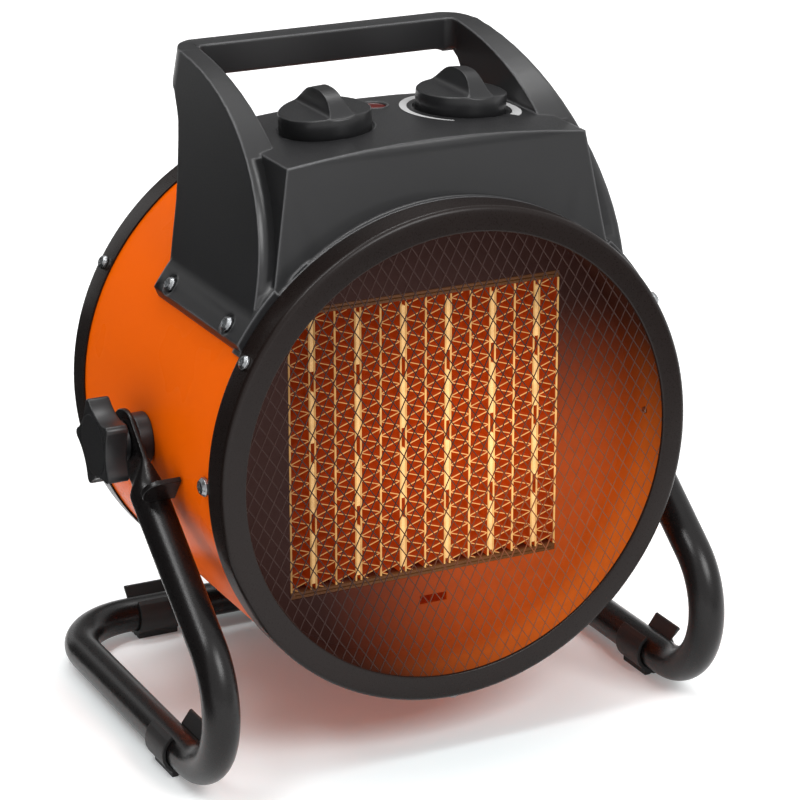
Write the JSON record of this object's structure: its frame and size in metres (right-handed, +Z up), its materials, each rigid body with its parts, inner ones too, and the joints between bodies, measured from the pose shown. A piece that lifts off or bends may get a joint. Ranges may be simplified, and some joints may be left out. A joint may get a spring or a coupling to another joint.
{
  "type": "standing heater",
  "caption": "Round fan heater tilting between the arms of a bent-tube stand, with a diamond front net, a finned heating element, a control box with turning knobs and a carrying handle.",
  "frame": {"origin": "centre of the floor rectangle under the whole heater", "axes": "+Z up, the front net faces -Y, +X to the right seen from the front"},
  "size_m": [0.2904, 0.2282, 0.3188],
  "materials": {
    "orange_paint": "semi-gloss",
    "black_paint": "satin",
    "black_plastic": "fine texture",
    "rubber": "matte",
    "steel": "zinc plated",
    "aluminium": "mill",
    "heating_stone": "sheet over ceramic stones",
    "dark_sheet": "dull",
    "lamp": "clear red"
  },
  "bodies": {
    "stand": {"stand_tube": "black_paint", "foot_clip_front_left": "rubber", "foot_clip_front_right": "rubber", "foot_clip_rear_left": "rubber", "foot_clip_rear_right": "rubber", "stop_tab_left": "black_paint", "stop_tab_right": "black_paint"},
    "heater": {"drum_shell": "orange_paint", "front_bezel": "black_paint", "rear_bezel": "black_paint", "front_net": "black_paint", "rear_grille": "black_paint", "cord_gland": "rubber", "control_housing": "black_plastic", "pivot_spacer_left": "black_plastic", "pivot_spacer_right": "black_plastic", "selector_switch": "black_plastic", "thermostat": "black_plastic", "terminal_block": "black_plastic", "bezel_screw_1": "steel", "bezel_screw_2": "steel", "bezel_screw_3": "steel", "rear_ring_screw_1": "steel", "rear_ring_screw_2": "steel", "rear_ring_screw_3": "steel", "housing_screw_front_left": "steel", "housing_screw_front_right": "steel", "housing_screw_rear_left": "steel", "housing_screw_rear_right": "steel", "duct_screw_left": "steel", "duct_screw_right": "steel", "pivot_stud_left": "steel", "pivot_stud_right": "steel", "fan_motor": "steel", "motor_bracket": "steel", "thermal_cutout": "steel", "fin_pack_1": "aluminium", "fin_pack_2": "aluminium", "fin_pack_3": "aluminium", "fin_pack_4": "aluminium", "fin_pack_5": "aluminium", "fin_pack_6": "aluminium", "fin_pack_7": "aluminium", "element_rail_top": "aluminium", "element_rail_bottom": "aluminium", "heating_bar_1": "heating_stone", "heating_bar_2": "heating_stone", "heating_bar_3": "heating_stone", "heating_bar_4": "heating_stone", "heating_bar_5": "heating_stone", "heating_bar_6": "heating_stone", "inner_duct": "dark_sheet", "baffle_plate": "dark_sheet", "indicator_lamp": "lamp"},
    "selector_knob": {"selector_knob": "black_plastic"},
    "thermostat_knob": {"thermostat_knob": "black_plastic"},
    "fan": {"fan": "black_plastic"},
    "clamp_knob_left": {"clamp_knob_left": "black_plastic"},
    "clamp_knob_right": {"clamp_knob_right": "black_plastic"}
  },
  "joints": [
    {"name": "tilt", "type": "hinge", "parent": "stand", "child": "heater", "pos_m": [0, -0.00045, 0.1473], "axis": [1, 0, 0], "range_deg": [-20, 20]},
    {"name": "selector", "type": "hinge", "parent": "heater", "child": "selector_knob", "pos_m": [-0.0355, -0.02395, 0.29242], "axis": [-0.0609, 0, 0.9981], "range_deg": [-90, 90]},
    {"name": "thermostat", "type": "hinge", "parent": "heater", "child": "thermostat_knob", "pos_m": [0.037, -0.01845, 0.29232], "axis": [0.0635, 0, 0.998], "range_deg": [-135, 135]},
    {"name": "fan_spin", "type": "hinge", "parent": "heater", "child": "fan", "pos_m": [0, 0.02955, 0.1473], "axis": [0, 1, 0], "continuous": true},
    {"name": "clamp_left", "type": "hinge", "parent": "heater", "child": "clamp_knob_left", "pos_m": [-0.138, -0.00045, 0.1473], "axis": [1, 0, 0], "range_deg": [-180, 180]},
    {"name": "clamp_right", "type": "hinge", "parent": "heater", "child": "clamp_knob_right", "pos_m": [0.138, -0.00045, 0.1473], "axis": [1, 0, 0], "range_deg": [-180, 180]}
  ]
}
